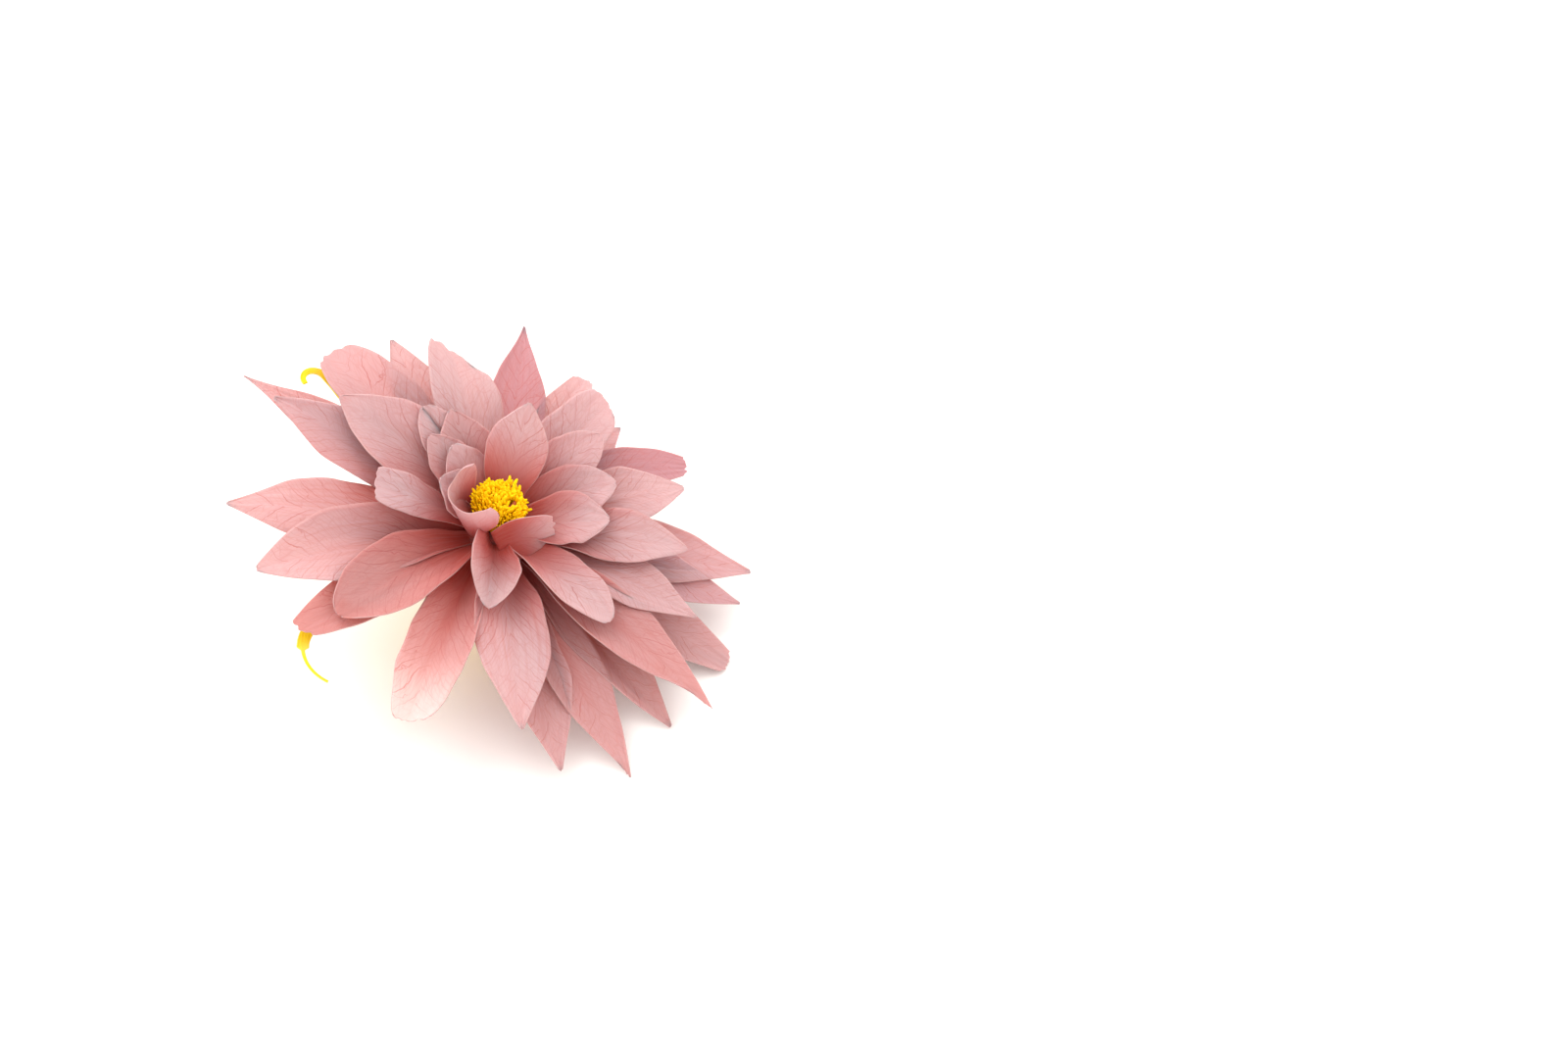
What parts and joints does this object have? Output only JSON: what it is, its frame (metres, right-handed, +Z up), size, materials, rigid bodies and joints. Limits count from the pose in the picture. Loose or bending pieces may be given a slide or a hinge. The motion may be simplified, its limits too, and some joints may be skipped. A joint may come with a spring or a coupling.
{
  "type": "preserved dahlia head",
  "caption": "Preserved dahlia head, lying: pink pointed petals in rings round a rose core with golden stamens, on a dyed yellow calyx with a short socket tube.",
  "frame": {"origin": "on the surface that the flower lies on, under the middle of its outline", "axes": "+Z up; +X to the right and -Y towards the viewer as in the picture, the flower leaning towards +X and a little towards -Y"},
  "size_m": [0.0988, 0.0986, 0.0406],
  "materials": {
    "petal": "matt preserved petal, dusty pink, veined",
    "stamen": "matt golden yellow fibre",
    "calyx": "matt dyed lemon yellow leaf",
    "tube": "translucent off-white tube"
  },
  "bodies": {
    "root": {"petals": "petal", "stamens": "stamen", "calyx": "calyx", "stem_tube": "tube"}
  },
  "joints": []
}
